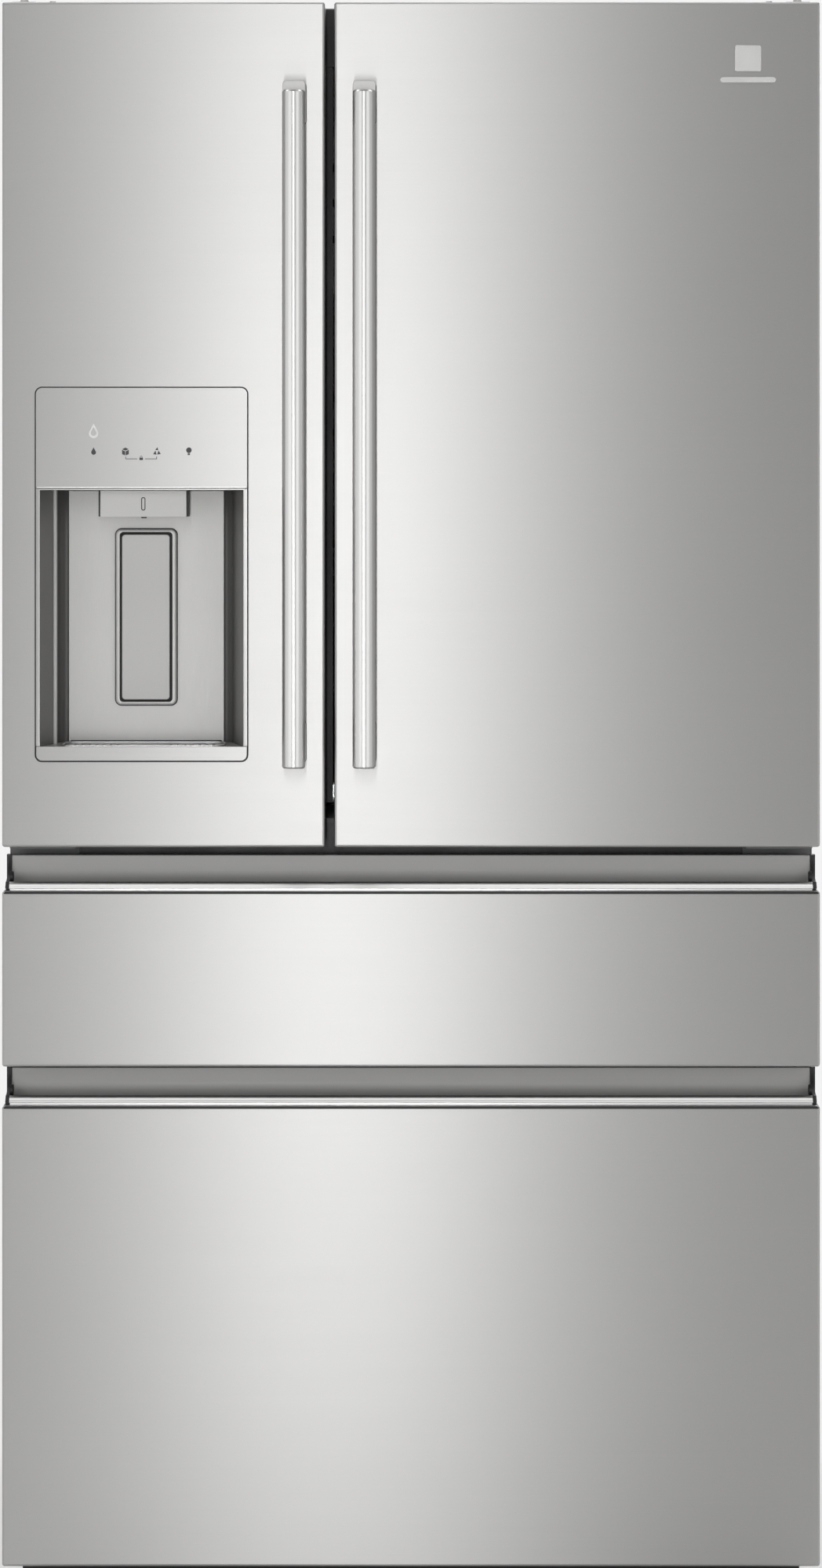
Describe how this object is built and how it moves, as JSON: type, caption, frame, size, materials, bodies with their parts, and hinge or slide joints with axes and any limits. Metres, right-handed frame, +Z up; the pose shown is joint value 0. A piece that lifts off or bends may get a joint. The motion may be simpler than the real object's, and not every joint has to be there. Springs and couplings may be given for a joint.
{
  "type": "french door refrigerator",
  "caption": "Tall refrigerator with hinged upper doors, bar handles, an ice and water dispenser recess, and wide pull-out drawers with scooped grips below.",
  "frame": {"origin": "on the floor, under the middle of the outer box", "axes": "+Z up, the doors face -Y, +X to the viewer's right"},
  "size_m": [0.913, 0.79, 1.797],
  "materials": {
    "stainless": "brushed stainless sheet, fine horizontal grain",
    "polished_steel": "polished steel bar",
    "grey_trim": "satin grey moulding",
    "grey_paint": "fine textured dark grey paint",
    "white_liner": "white moulded liner over foam",
    "seal_rubber": "soft grey-black seal",
    "dark_plastic": "black moulded plastic",
    "galvanised": "zinc coated sheet",
    "clear_plastic": "clear moulded bin",
    "glass": "tempered shelf glass",
    "panel_grey": "silver grey control panel",
    "recess_plastic": "warm grey recess moulding"
  },
  "bodies": {
    "cabinet": {"cabinet_wrapper": "grey_paint", "cabinet_liner": "white_liner", "rear_panel": "grey_paint", "machine_cover": "galvanised", "partition_upper": "white_liner", "partition_lower": "white_liner", "hinge_top_left": "galvanised", "hinge_top_right": "galvanised", "hinge_cover_left": "dark_plastic", "hinge_cover_right": "dark_plastic", "hinge_mid_left": "galvanised", "hinge_mid_right": "galvanised", "base_pan": "galvanised", "kick_plate": "dark_plastic", "foot_left": "dark_plastic", "foot_right": "dark_plastic", "compressor": "dark_plastic", "shelf_upper": "glass", "shelf_lower": "glass", "crisper_cover": "glass", "power_inlet": "dark_plastic", "ice_maker": "white_liner"},
    "left_door": {"left_door_skin": "stainless", "left_door_liner": "white_liner", "left_door_gasket": "seal_rubber", "left_handle": "polished_steel", "left_handle_mount_top": "grey_trim", "left_handle_mount_bottom": "grey_trim", "dispenser_housing": "recess_plastic", "dispenser_panel": "panel_grey", "dispenser_chute": "grey_trim", "drip_tray": "grey_trim", "left_door_bin": "clear_plastic"},
    "right_door": {"right_door_skin": "stainless", "right_door_liner": "white_liner", "right_door_gasket": "seal_rubber", "right_handle": "polished_steel", "right_handle_mount_top": "grey_trim", "right_handle_mount_bottom": "grey_trim", "right_door_bin_upper": "clear_plastic", "right_door_bin_lower": "clear_plastic"},
    "dispenser_paddle": {"dispenser_paddle": "grey_trim"},
    "mullion_flap": {"mullion_flap": "dark_plastic"},
    "upper_drawer": {"upper_drawer_skin": "stainless", "upper_drawer_body": "white_liner", "upper_drawer_gasket": "seal_rubber", "upper_drawer_grip": "grey_trim", "upper_drawer_bin": "clear_plastic"},
    "lower_drawer": {"lower_drawer_skin": "stainless", "lower_drawer_body": "white_liner", "lower_drawer_gasket": "seal_rubber", "lower_drawer_grip": "grey_trim", "lower_drawer_bin": "clear_plastic"},
    "upper_rails": {"upper_drawer_rails": "galvanised"},
    "lower_rails": {"lower_drawer_rails": "galvanised"},
    "crisper_left": {"crisper_left": "clear_plastic"},
    "crisper_right": {"crisper_right": "clear_plastic"},
    "roller_left": {"roller_left": "dark_plastic"},
    "roller_right": {"roller_right": "dark_plastic"},
    "condenser_fan": {"condenser_fan": "dark_plastic"}
  },
  "joints": [
    {"name": "left_door_swing", "type": "hinge", "parent": "cabinet", "child": "left_door", "pos_m": [-0.4345, -0.295, 0.835], "axis": [0, 0, -1], "range_deg": [0, 110]},
    {"name": "right_door_swing", "type": "hinge", "parent": "cabinet", "child": "right_door", "pos_m": [0.4345, -0.295, 0.835], "axis": [0, 0, 1], "range_deg": [0, 110]},
    {"name": "mullion_flap_fold", "type": "hinge", "parent": "left_door", "child": "mullion_flap", "pos_m": [-0.121, -0.253, 0.88], "axis": [0, 0, 1], "range_deg": [0, 90]},
    {"name": "paddle_push", "type": "hinge", "parent": "left_door", "child": "dispenser_paddle", "pos_m": [-0.3006, -0.253, 1.18], "axis": [1, 0, 0], "range_deg": [0, 3], "stiffness_Nm_per_rad": 1.2},
    {"name": "upper_drawer_slide", "type": "slide", "parent": "cabinet", "child": "upper_drawer", "axis": [0, -1, 0], "range_m": [0, 0.4]},
    {"name": "lower_drawer_slide", "type": "slide", "parent": "cabinet", "child": "lower_drawer", "axis": [0, -1, 0], "range_m": [0, 0.4]},
    {"name": "upper_rails_slide", "type": "slide", "parent": "cabinet", "child": "upper_rails", "axis": [0, -1, 0], "range_m": [0, 0.2]},
    {"name": "lower_rails_slide", "type": "slide", "parent": "cabinet", "child": "lower_rails", "axis": [0, -1, 0], "range_m": [0, 0.2]},
    {"name": "crisper_left_slide", "type": "slide", "parent": "cabinet", "child": "crisper_left", "axis": [0, -1, 0], "range_m": [0, 0.11]},
    {"name": "crisper_right_slide", "type": "slide", "parent": "cabinet", "child": "crisper_right", "axis": [0, -1, 0], "range_m": [0, 0.11]},
    {"name": "roller_left_spin", "type": "hinge", "parent": "cabinet", "child": "roller_left", "pos_m": [-0.36, 0.305, 0.017], "axis": [1, 0, 0], "continuous": true},
    {"name": "roller_right_spin", "type": "hinge", "parent": "cabinet", "child": "roller_right", "pos_m": [0.36, 0.305, 0.017], "axis": [1, 0, 0], "continuous": true},
    {"name": "condenser_fan_spin", "type": "hinge", "parent": "cabinet", "child": "condenser_fan", "pos_m": [0.12, 0.305, 0.165], "axis": [0, 1, 0], "continuous": true}
  ],
  "couplings": [
    {"joint": "upper_rails_slide", "follows": "upper_drawer_slide", "ratio": 0.5},
    {"joint": "lower_rails_slide", "follows": "lower_drawer_slide", "ratio": 0.5}
  ]
}
